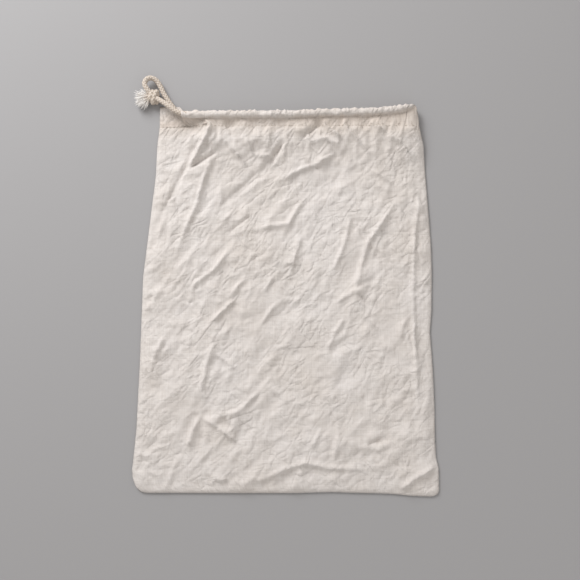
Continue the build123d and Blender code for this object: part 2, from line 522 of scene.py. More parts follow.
def smoothPath(points, resolution=16):
    # points along one smooth spline that has the given points as its controls
    line = bpy.data.curves.new("route", "CURVE")
    line.dimensions = "3D"
    line.resolution_u = resolution
    spline = line.splines.new("NURBS")
    spline.points.add(len(points) - 1)
    for handle, point in zip(spline.points, points):
        handle.co = (*point, 1.0)
    spline.order_u = 3
    spline.use_endpoint_u = True
    holder = bpy.data.objects.new("route", line)
    bpy.context.scene.collection.objects.link(holder)
    bpy.context.view_layer.update()
    drawn = bpy.data.meshes.new_from_object(holder)
    path = np.array([tuple(vertex.co) for vertex in drawn.vertices])
    bpy.data.objects.remove(holder)
    bpy.data.meshes.remove(drawn)
    return path


def evenPath(path, step):
    runs = np.linalg.norm(np.diff(path, axis=0), axis=1)
    along = np.concatenate([[0.0], np.cumsum(runs)])
    wanted = np.linspace(0, along[-1], max(4, int(round(along[-1] / step)) + 1))
    return np.stack([np.interp(wanted, along, path[:, axis]) for axis in range(3)], axis=1), wanted


def turningFrames(centres):
    # a side and a rise direction at each point of the path, which don't twist round it
    tangents = np.gradient(centres, axis=0)
    tangents /= np.linalg.norm(tangents, axis=1)[:, None]
    side = np.cross(tangents[0], (0.12, 0.31, 0.94))
    sides = []
    for tangent in tangents:
        side = side - tangent * np.dot(side, tangent)
        side = side / np.linalg.norm(side)
        sides.append(side)
    sides = np.array(sides)
    return sides, np.cross(tangents, sides)


def plaitRelief(along, turn):
    twist = 2 * math.pi * along / (cord["ribPitch"] * mm)
    strands = cord["ribStrands"] * turn
    return 1.0 + cord["ribDepth"] * np.sin(strands + twist) * np.sin(strands - twist)


def makeTube(name, path, radius, sides, step, relief=None, size=None):
    # a grid wrapped round the path, with rounded ends that close at a point
    centres, along = evenPath(path, step)
    rings = len(centres) - 1
    piece, alongShare, turnShare = addGrid(name, rings, sides)
    ring = np.rint(alongShare * rings).astype(int)
    turn = turnShare * 2 * math.pi
    fromEnd = np.minimum(along, along[-1] - along) / radius
    endShape = np.sqrt(np.clip(1 - (1 - np.clip(fromEnd, 0, 1)) ** 2, 0, 1))
    sizes = radius * endShape
    if size:
        sizes = sizes * size(along / along[-1])
    reach = sizes[ring]
    if relief:
        reach = reach * relief(along[ring], turn)
    sideways, upwards = turningFrames(centres)
    places = centres[ring] + reach[:, None] * (
        np.cos(turn)[:, None] * sideways[ring] + np.sin(turn)[:, None] * upwards[ring]
    )
    writePoints(piece, places)
    scaleUv(piece, along[-1], 1.0)
    closeShell(piece)
    return piece


def makeCordPiece(name, path, material=None):
    radius = bag["cordRadius"] * mm
    piece = makeTube(name, path, radius, cord["sides"], cord["step"] * mm, plaitRelief)
    return dress(piece, material or cordMaterial)


def makeTails():
    tails = {}
    for name, points in (("front", cord["frontTail"]), ("back", cord["backTail"])):
        path = smoothPath(fromPivot(points))
        tail = makeCordPiece(f"plaited_{name}_tail", path)
        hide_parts(f"cord_{name}_tail")
        tails[name] = (tail, path)
    return tails


def makeRuns():
    runs = []
    for name, z in (("front", bag["frontCordZ"]), ("back", bag["backCordZ"])):
        path = smoothPath([Vector((px, py, z)) * mm for px, py in cord["runLine"]])
        radius = bag["cordRadius"] * mm
        run = makeTube(f"plaited_{name}_run", path, radius, cord["hiddenSides"], cord["runStep"] * mm)
        dress(run, cordMaterial)
        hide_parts(f"cord_{name}_run")
        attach(run, "drawcord")
        runs.append(run)
    return runs


def makeTurn():
    x, y = cord["runLine"][-1]
    middleZ = (bag["frontCordZ"] + bag["backCordZ"]) / 2
    rise = (bag["frontCordZ"] - bag["backCordZ"]) / 2
    points = []
    for step in range(cord["turnPoints"] + 1):
        angle = math.pi / 2 - math.pi * step / cord["turnPoints"]
        outX = x + cord["turnReach"] * math.cos(angle)
        points.append(Vector((outX, y, middleZ + rise * math.sin(angle))) * mm)
    radius = bag["cordRadius"] * mm * cord["turnThinness"]
    path = smoothPath(points)
    turn = makeTube("plaited_turn", path, radius, cord["hiddenSides"], cord["turnStep"] * mm)
    dress(turn, cordMaterial)
    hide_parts("cord_turn")
    return turn


knot = {
    "centre": (-23.0, 14.9, 5.0),
    "high": 4.9, "deep": 2.55, "wide": 4.5,
    "highScale": 1.12, "deepScale": 1.1, "wideScale": 1.55, "lean": 0.9,
    "turns": 2.0, "turnSteps": 8, "startDeg": -60, "endSqueeze": 0.72,
}


def makeKnot():
    # two wraps of cord side by side round the pair of strands, pulled down on them
    centre = knot["centre"]
    count = int(knot["turns"] * knot["turnSteps"])
    points = []
    for step in range(count + 1):
        angle = math.radians(knot["startDeg"]) - 2 * math.pi * step / knot["turnSteps"]
        share = step / count
        squeeze = knot["endSqueeze"] if step in (0, count) else 1.0
        points.append((
            centre[0] + knot["wide"] * (0.5 - share) * knot["wideScale"] + knot["lean"] * math.sin(angle),
            centre[1] + knot["high"] * squeeze * math.sin(angle) * knot["highScale"],
            centre[2] + knot["deep"] * squeeze * math.cos(angle) * knot["deepScale"],
        ))
    wraps = makeCordPiece("knot_wraps", smoothPath(fromPivot(points)), knotMaterial)
    cores = []
    for side in (-1, 1):
        core = [
            (centre[0] + 5.2, centre[1] + 1.6 * side, centre[2] + 0.6 * side),
            (centre[0], centre[1] + 1.9 * side, centre[2] - 0.4 * side),
            (centre[0] - 5.6, centre[1] + 2.0 * side, centre[2] + 0.1),
        ]
        cores.append(makeCordPiece("knot_core", smoothPath(fromPivot(core)), knotMaterial))
    whole = joinPieces("overhand_knot", [wraps, *cores])
    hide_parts("cord_knot")
    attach(whole, "cord_tail")
    return whole


tuft = {
    "fibres": 80,
    "fibreRadius": 0.42,
    "root": (-27.0, 15.0, 5.0),
    "frontAim": (-40.0, 7.2, 5.2),
    "backAim": (-41.2, 16.2, 5.0),
    "spreadDeg": 23.0,
    "liftSpread": 0.17,
    "length": (10.5, 17.0),
    "rootSpread": 1.7, "curlAcross": 1.5, "curlUp": 1.2,
    "lowest": 0.5, "highest": 9.6,
    "yarnSizes": (0.55, 0.8, 1.25),
}


def narrowing(share):
    # a fibre thins towards its loose end
    return 1.05 - 0.6 * share


def scatter(draw, across, mostAcross, mostUp):
    sideways = across * draw.uniform(-mostAcross, mostAcross)
    return sideways + Vector((0, 0, draw.uniform(-mostUp, mostUp)))


def makeTuft(name, node, rootOffset, aim, seed):
    draw = random.Random(seed)
    root = Vector(rootOffset)
    target = Vector(aim)
    main = (target - root).normalized()
    across = main.cross(Vector((0, 0, 1))).normalized()
    fibres = []
    for number in range(tuft["fibres"]):
        angle = math.radians(draw.gauss(0, tuft["spreadDeg"]))
        lift = draw.gauss(0, tuft["liftSpread"])
        length = draw.uniform(*tuft["length"]) * (1 - 0.25 * abs(angle))
        heading = main * math.cos(angle) + across * math.sin(angle) + Vector((0, 0, lift))
        heading = heading.normalized()
        start = root + scatter(draw, across, tuft["rootSpread"], tuft["rootSpread"])
        curl = scatter(draw, across, tuft["curlAcross"], tuft["curlUp"])
        middle = start + heading * length * 0.5 + curl * 0.5
        late = start + heading * length * 0.8 - curl * 0.35
        end = start + heading * length
        points = [start, middle, late, end]
        for point in points:
            point.z = min(max(point.z, tuft["lowest"]), tuft["highest"])
        path = smoothPath(fromPivot([tuple(point) for point in points]), 3)
        radius = tuft["fibreRadius"] * draw.choice(tuft["yarnSizes"]) * mm
        fibres.append(makeTube(f"fibre{number}", path, radius, 5, length * mm / 7, size=narrowing))
    whole = dress(joinPieces(name, fibres), frayMaterial)
    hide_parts(node)
    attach(whole, "cord_tail")
    return whole


tails = makeTails()
runs = makeRuns()
turnPiece = makeTurn()
knotPiece = makeKnot()
frontTuft = makeTuft("front_end_fray", "front_end_tuft", tuft["root"], tuft["frontAim"], 3)
backTuft = makeTuft("back_end_fray", "back_end_tuft", tuft["root"], tuft["backAim"], 8)
for side, lengthKey in (("front", "frontLength"), ("back", "backLength")):
    tail, path = tails[side]
    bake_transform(tail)
print("cord ready")


# ---- the crumpled cloth

outline = {
    "left": [
        (-178, -131), (-174, -136.5), (-168, -139.6), (-160, -140.5), (-120, -137), (-60, -134.8),
        (20, -133), (70, -127.5), (115, -122.5), (145, -121.5), (161.5, -119.5), (182, -117.8),
    ],
    "right": [
        (-180, 136.5), (-176, 139.0), (-155, 139), (-145, 136.6), (-126, 135.9), (-100, 136),
        (-66, 135), (-31, 132.8), (-11, 134.5), (25, 135.4), (50, 134.9), (87, 132.6), (111, 131.1),
        (144, 128.8), (153.5, 126.5), (171, 122.5), (182, 119.8),
    ],
    "bottom": [
        (-141, -170), (-137, -175), (-127, -177), (-69, -177.2), (3.5, -177.2), (40, -176.3),
        (94, -177.7), (112, -179.5), (132, -180.3), (137, -179), (140, -176),
    ],
    "rollTop": [
        (-100, 175.4), (-92, 174.6), (-68, 174.8), (3.5, 174.9),
        (24, 175.8), (84, 177.6), (111, 180.6), (121, 182),
    ],
}

# creases set in the front, as (height in mm, width in mm, points); one with a height under 0 is sunk
folds = [
    (-1.0, 3.4, [(-109, 123), (-95, 134), (-82, 144)]),
    (-1.2, 4.0, [(-91, 121), (-76, 130), (-63, 138)]),
    (1.6, 5.0, [(-91, 121), (-76, 148), (-68, 165)]),
    (0.9, 3.0, [(-61, 151), (-48, 137), (-35, 121)]),
    (-1.3, 3.6, [(-1, 148), (-16, 125)]),
    (-1.8, 5.5, [(-5, 146), (-20, 121), (-35, 108), (-61, 87)]),
    (1.3, 4.2, [(23, 98), (10, 85), (3, 70), (-33, 64)]),
    (-1.3, 3.6, [(58, 79), (75, 54), (95, 25)]),
    (1.6, 4.2, [(99, 85), (75, 51), (69, 29), (63, 7)]),
    (1.1, 3.0, [(60, 76), (54, 51), (43, 25)]),
    (1.2, 2.6, [(33, 169), (36, 161), (51, 149)]),
    (1.2, 2.8, [(48, 169), (61, 153), (77, 136)]),
    (1.0, 2.8, [(70, 167), (93, 155)]),
    (-1.2, 3.6, [(-85, 146), (-98, 115), (-116, 81)]),
    (1.1, 4.0, [(-72, 128), (-85, 85), (-101, 47)]),
    (0.9, 3.0, [(-113, 77), (-120, 53)]),
    (1.0, 3.6, [(-5, 110), (12, 119), (29, 125), (47, 136)]),
    (-0.7, 2.6, [(18, 128), (32, 119)]),
    (0.9, 3.0, [(14, 61), (3, 21)]),
    (0.9, 2.6, [(-12, 21), (-21, 5)]),
    (0.9, 2.6, [(-38, 18), (-49, 7)]),
    (1.2, 3.6, [(-53, 46), (-66, 27), (-84, 14), (-88, 3)]),
    (0.9, 3.0, [(81, 119), (100, 106)]),
    (-0.8, 2.6, [(14, 148), (25, 157), (33, 165)]),
    (0.8, 2.6, [(21, 144), (34, 149), (48, 144)]),
    (0.8, 2.6, [(-39, 153), (-31, 134), (-12, 132)]),
    (-0.8, 2.4, [(-95, 159), (-97, 148)]),
    (-0.9, 2.4, [(-56, 163), (-50, 149)]),
    (-1.0, 3.0, [(-31, 79), (-57, 59)]),
    (-1.0, 3.4, [(-99, 0), (-86, -5), (-73, -20)]),
    (1.2, 3.2, [(-47, 0), (-69, -22)]),
    (0.8, 2.6, [(-10, -5), (-23, -24)]),
    (1.0, 2.8, [(65, 8), (45, -4)]),
    (-0.9, 2.6, [(65, 6), (80, -11)]),
    (1.1, 3.2, [(54, -16), (43, -35), (37, -51)]),
    (0.9, 2.6, [(67, -13), (85, -29)]),
    (1.3, 4.2, [(-67, -40), (-74, -66), (-79, -88)]),
    (0.9, 3.0, [(-67, -49), (-45, -66)]),
    (1.0, 3.0, [(-113, -35), (-125, -64)]),
    (1.1, 3.6, [(-23, -84), (-45, -104), (-68, -109)]),
    (1.6, 5.0, [(-79, -108), (-83, -115), (-90, -136)]),
    (1.3, 4.2, [(-79, -108), (-56, -122), (-43, -133)]),
    (1.0, 3.2, [(48, -118), (43, -149)]),
    (0.9, 2.8, [(32, -118), (23, -138)]),
    (-1.3, 4.2, [(72, -134), (99, -127)]),
    (-0.8, 3.0, [(97, -150), (115, -154)]),
    (1.2, 3.2, [(102, -175), (118, -163), (137, -152)]),
    (-0.9, 3.0, [(-137, -149), (-117, -168)]),
    (0.8, 2.6, [(-68, -163), (-52, -165)]),
    (0.8, 2.6, [(-64, -161), (-70, -175)]),
    (1.3, 4.4, [(-23, -165), (4, -154), (17, -150), (35, -154), (68, -156)]),
    (0.7, 2.6, [(109, -18), (105, -37)]),
    (0.7, 2.6, [(109, -26), (116, -53)]),
    (0.7, 4.0, [(-19, -79), (4, -97)]),
    (0.7, 4.0, [(-38, -57), (-21, -71)]),
    (0.9, 2.6, [(126, 111), (119, 59), (117, 3), (118, -50), (120, -110)]),
    (1.0, 2.4, [(95, 152), (108, 144), (116, 132)]),
]

crumple = {
    "frontSeed": 11,
    "backSeed": 29,
    "frontCount": 170,
    "fineCount": 420,
    "backCount": 260,
    "slantDeg": 236.0,  # short creases mostly run down and to the left
    "slantSpreadDeg": 26.0,
    "length": (9.0, 34.0),
    "width": (1.5, 3.2),
    "height": (0.35, 1.0),
    "waveSets": 14,
    "waveSpacing": (16.0, 42.0),
    "waveHeight": 0.55,
    "handCreases": 1.1, "handWidth": 0.85,  # scale the listed creases
    "sharp": 1.7,  # scales the narrow line pressed along each of them
    "sharpNearMouth": 2.5,
    "sharpAbove": 98,
    "sharpWidth": 0.38,
    "bodyHeight": 5.2,
    "seamHeight": 1.35,
    "riseOver": 7.5,
    "mouthHeight": 10.2,
}


def lineDistance(x, y, points):
    # distance from a bent line, which side of it, and the share of the way along
    nearest = np.full(x.shape, 1e9)
    side = np.ones(x.shape)
    share = np.zeros(x.shape)
    lengths = [math.dist(a, b) for a, b in zip(points, points[1:])]
    total = sum(lengths)
    passed = 0.0
    for (ax, ay), (bx, by), length in zip(points, points[1:], lengths):
        dx, dy = (bx - ax) / length, (by - ay) / length
        along = np.clip((x - ax) * dx + (y - ay) * dy, 0, length)
        away = np.hypot(x - ax - dx * along, y - ay - dy * along)
        closer = away < nearest
        nearest = np.where(closer, away, nearest)
        side = np.where(closer, np.sign(dx * (y - ay) - dy * (x - ax)), side)
        share = np.where(closer, (passed + along) / total, share)
        passed += length
    return nearest, side, share


def creaseHeight(x, y, height, width, points):
    # a narrow-topped ridge, half as wide on the right of its line as on the left, lower at both ends
    xs = [point[0] for point in points]
    ys = [point[1] for point in points]
    reach = 4 * width
    near = (x > min(xs) - reach) & (x < max(xs) + reach)
    near &= (y > min(ys) - reach) & (y < max(ys) + reach)
    rise = np.zeros(x.shape)
    away, side, share = lineDistance(x[near], y[near], points)
    fade = smoothStep(0, 0.22, share) * smoothStep(0, 0.22, 1 - share)
    fade = 0.25 + 0.75 * fade
    slope = np.where(side > 0, 1.5, 0.75)
    profile = np.exp(-np.sqrt((away / (width * slope)) ** 2 + 0.12) + 0.346)
    profile *= np.exp(-((away / (2.6 * width)) ** 2))
    rise[near] = height * profile * fade
    return rise


def scatterCreases(x, y, count, seed, narrow=1.0):
    draw = random.Random(seed)
    total = np.zeros(x.shape)
    for _ in range(count):
        left = draw.random() ** 1.25  # more of them in the left half
        cx = -135 + 270 * left
        cy = draw.uniform(-172, 158)
        heading = math.radians(draw.gauss(crumple["slantDeg"], crumple["slantSpreadDeg"]))
        if draw.random() < 0.28:
            heading += math.radians(draw.uniform(50, 110))
        length = draw.uniform(*crumple["length"])
        bend = draw.gauss(0, 0.10) * length
        hx, hy = math.cos(heading) * length / 2, math.sin(heading) * length / 2
        points = [
            (cx - hx, cy - hy),
            (cx - hy / length * bend * 2, cy + hx / length * bend * 2),
            (cx + hx, cy + hy),
        ]
        width = draw.uniform(*crumple["width"]) * narrow
        height = draw.uniform(*crumple["height"]) * draw.choice((1, 1, -1))
        total += creaseHeight(x, y, height, width, points)
    return total


def foldWaves(x, y, seed):
    # sharp-edged folds with flat faces between them, each set coming and going over the cloth
    draw = random.Random(seed)
    total = np.zeros(x.shape)
    for number in range(crumple["waveSets"]):
        main = number % 5 < 3
        heading = math.radians(draw.gauss(56, 14) if main else draw.uniform(0, 180))
        spacing = draw.uniform(*crumple["waveSpacing"])
        across = -x * math.sin(heading) + y * math.cos(heading)
        bend = 7.0 * softNoise(x, y, 55, seed + number) + 2.0 * softNoise(x, y, 16, seed + number + 40)
        turn = (across + bend) / spacing + draw.random()
        lean = draw.uniform(0.25, 0.75)
        part = turn - np.floor(turn)
        saw = np.where(part < lean, part / lean, (1 - part) / (1 - lean))
        mask = smoothStep(0.02, 0.38, softNoise(x, y, draw.uniform(26, 48), seed + number + 80))
        total += crumple["waveHeight"] * (spacing / 18.0) * mask * (saw - 0.5)
    return total


def softNoise(x, y, size, seed):
    places = np.stack([x / size, y / size, np.full(x.shape, seed * 7.3)], axis=1)
    return np.array([noise.noise(Vector(place)) for place in places])


def edgeRoom(x, y):
    left = x - follow(outline["left"], y)
    right = follow(outline["right"], y) - x
    bottom = y - follow(outline["bottom"], x)
    return left, right, bottom


def frontCreases(x, y):
    creases = scatterCreases(x, y, crumple["frontCount"], crumple["frontSeed"])
    creases += foldWaves(x, y, 3)
    for height, width, points in folds:
        height *= crumple["handCreases"]
        creases += creaseHeight(x, y, height, width * crumple["handWidth"], points)
    for number in range(gather["creases"]):
        creases += gatherCrease(x, y, number)
    return creases


gather = {
    "creases": 30, "seed": 900,
    "firstX": -84, "spread": 196,
    "rollY": 171, "stitchY": 160,
    "drop": (12, 34), "height": (1.0, 2.1), "width": (1.2, 2.1),
    "still": (-37.6, 69.2, 0), "carried": (120.0, 182.0, 0),
}


def gatherCrease(x, y, number):
    # starts under the roll, crosses the stitches and dies out in the panel
    draw = random.Random(gather["seed"] + number)
    startX = gather["firstX"] + gather["spread"] * (number + draw.random() * 0.8) / gather["creases"]
    slant = draw.gauss(6, 7)
    drop = draw.uniform(*gather["drop"])
    points = [
        (startX, gather["rollY"]),
        (startX + slant * 0.3, gather["stitchY"]),
        (startX + slant, gather["stitchY"] - drop),
    ]
    height = draw.uniform(*gather["height"]) * draw.choice((1, 1, -1))
    return creaseHeight(x, y, height, draw.uniform(*gather["width"]), points)


def fineCreases(x, y):
    # the narrow lines pressed into the cloth, over the folds that it settled into
    creases = 0.9 * scatterCreases(x, y, crumple["fineCount"], crumple["frontSeed"] + 1, narrow=0.75)
    creases += 1.1 * foldWaves(x, y, 17)
    for height, width, points in folds:
        nearMouth = points[0][1] > crumple["sharpAbove"]
        sharp = crumple["sharpNearMouth"] if nearMouth else crumple["sharp"]
        creases += creaseHeight(x, y, sharp * height, width * crumple["sharpWidth"], points)
    return creases


def pastSlit(x):
    # 0 to the left of the slit and 1 where the mouth lies at its full height
    return smoothStep(-97, -70, x)


def frontRest(x, y):
    # the smooth height that the cloth lies at, before its creases
    return frontHeight(x, y, 0.0)


def frontHeight(x, y, creased=1.0):
    left, right, bottom = edgeRoom(x, y)
    room = np.clip(np.minimum(np.minimum(left, right), bottom), 0, None)
    seamZ = crumple["seamHeight"] + 5.2 * smoothStep(118, 166, y) * smoothStep(90, 122, x)
    nearMouth = smoothStep(112, 158, y)
    rightness = pastSlit(x)
    mouthRise = crumple["mouthHeight"] - crumple["bodyHeight"]
    top = crumple["bodyHeight"] + mouthRise * nearMouth * rightness
    top = top - 3.2 * nearMouth * (1 - rightness)
    riseOver = crumple["riseOver"] * (1 - 0.45 * nearMouth)
    rise = 1 - np.exp(-room / riseOver)
    z = seamZ + (top - seamZ) * rise
    inside = smoothStep(0, 12, room)
    lift = 1.5 * softNoise(x, y, 62, 1) + 0.8 * softNoise(x, y, 27, 2)
    z += lift * inside * (1 - 0.7 * nearMouth)
    seamMark = 1 - smoothStep(14.5, 17, np.minimum(left, right))
    z += 0.35 * seamMark * smoothStep(0, 8, room)
    if creased:
        calmer = 1 - 0.4 * smoothStep(150, 161, y)
        z += frontCreases(x, y) * smoothStep(-2, 9, room) * calmer
    puckers = np.sin(y * 0.74 + 2.2 * softNoise(x * 0 + 3, y, 17, 5))
    puckers = puckers * np.exp(-left / 7.0) * smoothStep(0, 4, left)
    z += 0.45 * puckers * creased
    gathers = np.sin(x * 0.62 + 3.0 * softNoise(x, y * 0, 30, 6))
    gathers = gathers * np.exp(-(bag["stitchY"] - y) / 13.0)
    tucked = smoothStep(156.5, 161.5, y) * (1 - smoothStep(-91, -80, x)) * (left > 3)
    z += (1.25 - z) * tucked
    z += 0.40 * gathers * smoothStep(0, 6, bag["stitchY"] - y + 3) * rightness * creased
    stitchDent = np.exp(-(((y - bag["stitchY"]) / 1.3) ** 2))
    z -= 0.5 * creased * stitchDent * rightness
    return np.maximum(z, lowestFront(room))


def lowestFront(room):
    # the front stays above the seam allowances that lie inside it
    return 1.3 + 1.5 * smoothStep(0.8, 3.4, room)


sheetCut = {
    "frontColumns": 176, "frontRows": 212,
    "backColumns": 118, "backRows": 142,
    "casingRows": 20,
    "slitAtStitch": -90.0, "slitAtRoll": -99.0,
    "rollRadius": 3.4, "slitRollRadius": 3.1, "backRollRadius": 3.1,
    "endStart": 105.0, "endX": 119.5, "endRadius": 0.7,
    "bottomBlend": 0.10,  # the share of the panel over which the bottom edge's line fades out
    "flatPart": 0.26, "rollPart": 0.74,  # shares of the casing where the roll begins and ends
    "flareY": 178.0,
}


def rollShape(x, radiusMiddle, radiusSlit, centreMiddle):
    # the roll narrows at the slit, and closes round the turn of the cord at the right-hand end
    reach = (x - sheetCut["endStart"]) / (sheetCut["endX"] - sheetCut["endStart"])
    closing = np.sqrt(1 - np.clip(reach, 0, 1) ** 2)
    opened = smoothStep(-97, -78, x)
    radius = radiusSlit + (radiusMiddle - radiusSlit) * opened
    centreMiddle = centreMiddle - (centreMiddle > 6) * 0.7 * (1 - opened)
    radius = sheetCut["endRadius"] + (radius - sheetCut["endRadius"]) * closing
    middleZ = (bag["frontCordZ"] + bag["backCordZ"]) / 2
    centreZ = middleZ + (centreMiddle - middleZ) * closing
    return radius, centreZ


def casingProfile(x, share, radius, centreZ, up, flatZ):
    # out from the stitches along the flat, round the roll and back inside; up is 1 in front, -1 behind
    centreY = follow(outline["rollTop"], x) - radius
    flatPart = sheetCut["flatPart"]
    rollPart = sheetCut["rollPart"]
    startY = bag["stitchY"]
    meet = np.arcsin(np.clip((flatZ - centreZ) * up / radius, -0.95, 0.95))
    startAngle = math.pi - meet
    endAngle = -math.pi / 2
    touchY = centreY + radius * np.cos(startAngle)
    t = np.clip(share / flatPart, 0, 1)
    y = startY + (touchY - startY) * t
    rollStartZ = centreZ + up * radius * np.sin(startAngle)
    z = flatZ + up * 0.25 * np.sin(math.pi * t) + (rollStartZ - flatZ) * smoothStep(0.3, 1, t)
    t = np.clip((share - flatPart) / (rollPart - flatPart), 0, 1)
    angle = startAngle + (endAngle - startAngle) * t
    onRoll = share > flatPart
    y = np.where(onRoll, centreY + radius * np.cos(angle), y)
    z = np.where(onRoll, centreZ + up * radius * np.sin(angle), z)
    t = np.clip((share - rollPart) / (1 - rollPart), 0, 1)
    inside = share > rollPart
    y = np.where(inside, centreY + (startY + 0.8 - centreY) * t, y)
    innerZ = flatZ - up * 0.95
    inward = smoothStep(0, 0.8, t)
    z = np.where(inside, (centreZ - up * radius) * (1 - inward) + innerZ * inward, z)
    return y, z, np.where(onRoll, np.clip(angle, -math.pi / 2, math.pi), math.pi)


settle = {
    "columns": 88, "rows": 106, "boardColumns": 44, "boardRows": 53,
    "frames": 22, "quality": 6, "scale": 10.0, "mostMove": 7.0,
    "slack": 1.04, "middle": (0.0, -8.0),
    "stretching": 60.0, "shearShare": 0.3, "bending": 0.35, "mass": 0.4, "gravity": 0.35,
    "damping": 12, "airDamping": 3, "friction": 8, "gap": 0.002, "under": 1.3,
}


def placeOnPanel(across, panelShare):
    low = bag["bottomY"]
    y = low + (bag["stitchY"] - low) * panelShare
    left = follow(outline["left"], y)
    right = follow(outline["right"], y)
    x = left + (right - left) * across
    bottomShift = follow(outline["bottom"], x) - low
    return x, y + bottomShift * (1 - smoothStep(0, sheetCut["bottomBlend"], panelShare))


def layPanel(across, panelShare, shape):
    x, y = placeOnPanel(across, panelShare)
    return np.stack([x, y, shape(x, y)], axis=1)


def readDrawn(piece):
    # the places of a piece's points after its modifiers
    drawn = bpy.data.meshes.new_from_object(piece.evaluated_get(bpy.context.evaluated_depsgraph_get()))
    places = np.zeros(len(drawn.vertices) * 3)
    drawn.vertices.foreach_get("co", places)
    bpy.data.meshes.remove(drawn)
    return places.reshape(-1, 3)


def pinEdges(cloth, across, upShare):
    # the edge is held fast and the row next to it half as much
    edge = (across < 0.001) | (across > 0.999) | (upShare < 0.001) | (upShare > 0.999)
    nextIn = (across < 0.02) | (across > 0.98) | (upShare < 0.015) | (upShare > 0.985)
    pinned = cloth.vertex_groups.new(name="pinned")
    for held, weight in ((edge, 1.0), (nextIn & ~edge, 0.5)):
        pinned.add([int(i) for i in np.nonzero(held)[0]], weight, "REPLACE")


def makeBoard(unit):
    # what the cloth comes to rest on, a little under the height it is meant to lie at
    board, across, upShare = addGrid("board", settle["boardColumns"], settle["boardRows"])
    below = layPanel(across, upShare, frontRest)
    below[:, 2] -= settle["under"]
    writePoints(board, below * unit)
    makeActive(board)
    bpy.ops.object.modifier_add(type="COLLISION")
    board.collision.thickness_outer = settle["gap"]
    board.collision.cloth_friction = settle["friction"]
    return board


def addClothModifier(cloth, cut):
    makeActive(cloth)
    bpy.ops.object.modifier_add(type="CLOTH")
    simulated = cloth.modifiers[-1]
    values = simulated.settings
    values.quality = settle["quality"]
    values.mass = settle["mass"]
    values.tension_stiffness = settle["stretching"]
    values.compression_stiffness = settle["stretching"]
    values.shear_stiffness = settle["stretching"] * settle["shearShare"]
    values.bending_stiffness = settle["bending"]
    values.tension_damping = settle["damping"]
    values.compression_damping = settle["damping"]
    values.air_damping = settle["airDamping"]
    values.vertex_group_mass = "pinned"
    values.rest_shape_key = cut
    values.effector_weights.gravity = settle["gravity"]
    simulated.collision_settings.distance_min = settle["gap"]
    simulated.point_cache.frame_start = 1
    simulated.point_cache.frame_end = settle["frames"]


def settlePanel():
    # the cloth is cut larger than the space it lies in, so it buckles as it comes to rest
    cloth, across, upShare = addGrid("cut_cloth", settle["columns"], settle["rows"])
    laid = layPanel(across, upShare, frontHeight)
    unit = settle["scale"] * mm
    writePoints(cloth, laid * unit)
    cloth.shape_key_add(name="laid")
    cut = cloth.shape_key_add(name="cut")
    middle = np.array(settle["middle"])
    flat = laid.copy()
    flat[:, :2] = middle + (flat[:, :2] - middle) * settle["slack"]
    flat[:, 2] = 0
    cut.data.foreach_set("co", (flat * unit).ravel())
    pinEdges(cloth, across, upShare)
    board = makeBoard(unit)
    addClothModifier(cloth, cut)
    scene = bpy.context.scene
    for number in range(1, settle["frames"] + 1):
        scene.frame_set(number)
    moved = readDrawn(cloth) / unit - laid
    scene.frame_set(1)
    far = np.linalg.norm(moved, axis=1)
    print("cloth moved, mean and most:", far.mean(), far.max())
    places = laid + moved * np.minimum(1, settle["mostMove"] / np.maximum(far, 1e-9))[:, None]
    bpy.data.objects.remove(cloth)
    bpy.data.objects.remove(board)
    column = np.rint(across * settle["columns"]).astype(int)
    row = np.rint(upShare * settle["rows"]).astype(int)
    grid = np.zeros((settle["columns"] + 1, settle["rows"] + 1, 3))
    grid[column, row] = places
    return halve(halve(grid).transpose(1, 0, 2)).transpose(1, 0, 2)


def halve(grid):
    # twice as many rows, the new ones on a smooth curve through their neighbours
    padded = np.concatenate([2 * grid[:1] - grid[1:2], grid, 2 * grid[-1:] - grid[-2:-1]])
    between = (9 * (padded[1:-2] + padded[2:-1]) - padded[:-3] - padded[3:]) / 16
    finer = np.zeros((2 * len(grid) - 1, *grid.shape[1:]))
    finer[::2] = grid
    finer[1::2] = between
    return finer


def startCloth(name, columns, panelRows):
    # a grid whose last rows are the casing's; shares run from 0 to 1 over the panel and the casing
    rows = panelRows + sheetCut["casingRows"]
    piece, across, upShare = addGrid(name, columns, rows)
    row = np.rint(upShare * rows)
    column = np.rint(across * columns).astype(int)
    casingShare = np.clip((row - panelRows) / sheetCut["casingRows"], 0, 1)
    x, y = placeOnPanel(across, np.clip(row / panelRows, 0, 1))
    return piece, row, column, casingShare, x, y


def flareCasing(x, casingShare):
    # the casing's right-hand end follows the side of the bag
    lean = follow(outline["right"], sheetCut["flareY"]) - follow(outline["right"], bag["stitchY"])
    shift = lean * smoothStep(60, 126, x) * smoothStep(0, 0.4, casingShare)
    return x + np.where(casingShare > 0, shift, 0)


def slantAtSlit(x, casingShare):
    # the casing's edge at the slit leans to the left between the stitches and the roll
    slantBy = sheetCut["slitAtRoll"] - sheetCut["slitAtStitch"]
    shift = slantBy * smoothStep(0, sheetCut["flatPart"], casingShare)
    fade = 1 - smoothStep(0, 45, x - sheetCut["slitAtStitch"])
    return x + np.where(casingShare > 0, shift * fade, 0)


def rollSwell(x, y, casingShare):
    # ridges that the gathered cloth makes over the roll
    wander = softNoise(x, y * 0.25, 11.0, 4)
    strength = 0.45 + 0.55 * softNoise(x, x * 0, 17.0, 14)
    pucker = np.sin(0.52 * x + 0.42 * y + 5.0 * wander) + 0.5 * softNoise(x, y, 4.5, 15)
    pucker = (1 - np.abs(pucker)) * np.where(casingShare < sheetCut["rollPart"], 1, 0.2)
    onRoll = smoothStep(0.12, 0.34, casingShare)
    return 3.2 * strength * pucker * onRoll * smoothStep(0.0, 5.0, 119 - x)


